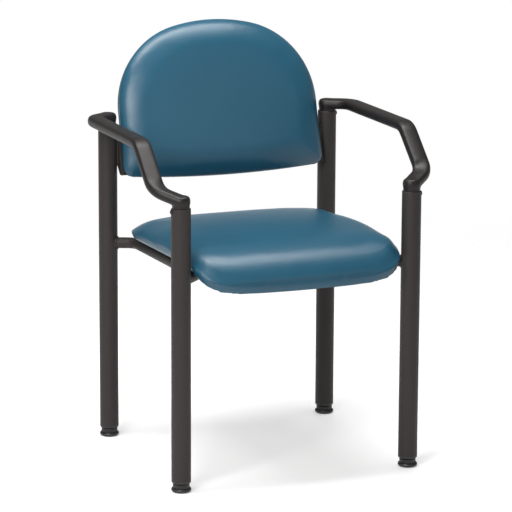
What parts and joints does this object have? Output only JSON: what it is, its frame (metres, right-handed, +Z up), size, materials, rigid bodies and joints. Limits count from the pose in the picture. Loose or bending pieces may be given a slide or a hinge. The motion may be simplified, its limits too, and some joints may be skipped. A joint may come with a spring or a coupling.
{
  "type": "side chair with arms",
  "caption": "Guest chair with arms: round steel tube legs, padded vinyl seat with a rolled front edge, arched padded backrest, moulded arms and screw-adjusted glides.",
  "frame": {"origin": "on the floor, midway between the outer sides and midway between the frontmost and rearmost points", "axes": "+Z up from the floor, -Y towards the front of the chair, +X towards the right as seen from its front"},
  "size_m": [0.5926, 0.5396, 0.8462],
  "materials": {
    "frame_paint": "fine matte powder coat, charcoal black",
    "arm_moulding": "fine-grained moulded urethane, charcoal black, satin",
    "blue_vinyl": "smooth coated vinyl, soft sheen",
    "black_plastic": "fine matte grain",
    "black_screw": "black oxide",
    "plated_steel": "zinc plated",
    "plywood": "raw plywood",
    "black_cloth": "non-woven dust cover cloth"
  },
  "bodies": {
    "frame": {"leg_front_left": "frame_paint", "glide_ferrule_front_left": "black_plastic", "leg_front_right": "frame_paint", "glide_ferrule_front_right": "black_plastic", "leg_rear_left": "frame_paint", "glide_ferrule_rear_left": "black_plastic", "leg_rear_right": "frame_paint", "glide_ferrule_rear_right": "black_plastic", "side_rail_left": "frame_paint", "arm_left": "arm_moulding", "back_bracket_left": "frame_paint", "side_rail_right": "frame_paint", "arm_right": "arm_moulding", "back_bracket_right": "frame_paint", "front_cross_rail": "frame_paint", "rear_cross_rail": "frame_paint", "frame_welds": "frame_paint", "arm_screws": "black_screw", "seat_cushion": "blue_vinyl", "seat_board": "plywood", "seat_dust_cover": "black_cloth", "seat_bolts": "plated_steel", "seat_tee_nuts": "plated_steel", "back_cushion": "blue_vinyl", "back_board": "plywood", "back_shell": "black_plastic", "back_bolts": "plated_steel", "back_tee_nuts": "plated_steel", "back_shell_screws": "black_screw"},
    "foot_front_left": {"glide_foot_front_left": "black_plastic"},
    "stud_front_left": {"glide_stud_front_left": "plated_steel", "glide_collar_front_left": "black_plastic"},
    "foot_front_right": {"glide_foot_front_right": "black_plastic"},
    "stud_front_right": {"glide_stud_front_right": "plated_steel", "glide_collar_front_right": "black_plastic"},
    "foot_rear_left": {"glide_foot_rear_left": "black_plastic"},
    "stud_rear_left": {"glide_stud_rear_left": "plated_steel", "glide_collar_rear_left": "black_plastic"},
    "foot_rear_right": {"glide_foot_rear_right": "black_plastic"},
    "stud_rear_right": {"glide_stud_rear_right": "plated_steel", "glide_collar_rear_right": "black_plastic"}
  },
  "joints": [
    {"name": "glide_travel_front_left", "type": "slide", "parent": "frame", "child": "foot_front_left", "axis": [0, 0, -1], "range_m": [0, 0.01]},
    {"name": "glide_turn_front_left", "type": "hinge", "parent": "foot_front_left", "child": "stud_front_left", "pos_m": [-0.24, -0.22058, 0.012], "axis": [0, 0, -1], "range_deg": [0, 2880]},
    {"name": "glide_travel_front_right", "type": "slide", "parent": "frame", "child": "foot_front_right", "axis": [0, 0, -1], "range_m": [0, 0.01]},
    {"name": "glide_turn_front_right", "type": "hinge", "parent": "foot_front_right", "child": "stud_front_right", "pos_m": [0.24, -0.22058, 0.012], "axis": [0, 0, -1], "range_deg": [0, 2880]},
    {"name": "glide_travel_rear_left", "type": "slide", "parent": "frame", "child": "foot_rear_left", "axis": [0, 0, -1], "range_m": [0, 0.01]},
    {"name": "glide_turn_rear_left", "type": "hinge", "parent": "foot_rear_left", "child": "stud_rear_left", "pos_m": [-0.24, 0.20042, 0.012], "axis": [0, 0, -1], "range_deg": [0, 2880]},
    {"name": "glide_travel_rear_right", "type": "slide", "parent": "frame", "child": "foot_rear_right", "axis": [0, 0, -1], "range_m": [0, 0.01]},
    {"name": "glide_turn_rear_right", "type": "hinge", "parent": "foot_rear_right", "child": "stud_rear_right", "pos_m": [0.24, 0.20042, 0.012], "axis": [0, 0, -1], "range_deg": [0, 2880]}
  ],
  "couplings": [
    {"joint": "glide_turn_front_left", "follows": "glide_travel_front_left", "rad_per_m": 5026.5},
    {"joint": "glide_turn_front_right", "follows": "glide_travel_front_right", "rad_per_m": 5026.5},
    {"joint": "glide_turn_rear_left", "follows": "glide_travel_rear_left", "rad_per_m": 5026.5},
    {"joint": "glide_turn_rear_right", "follows": "glide_travel_rear_right", "rad_per_m": 5026.5}
  ]
}
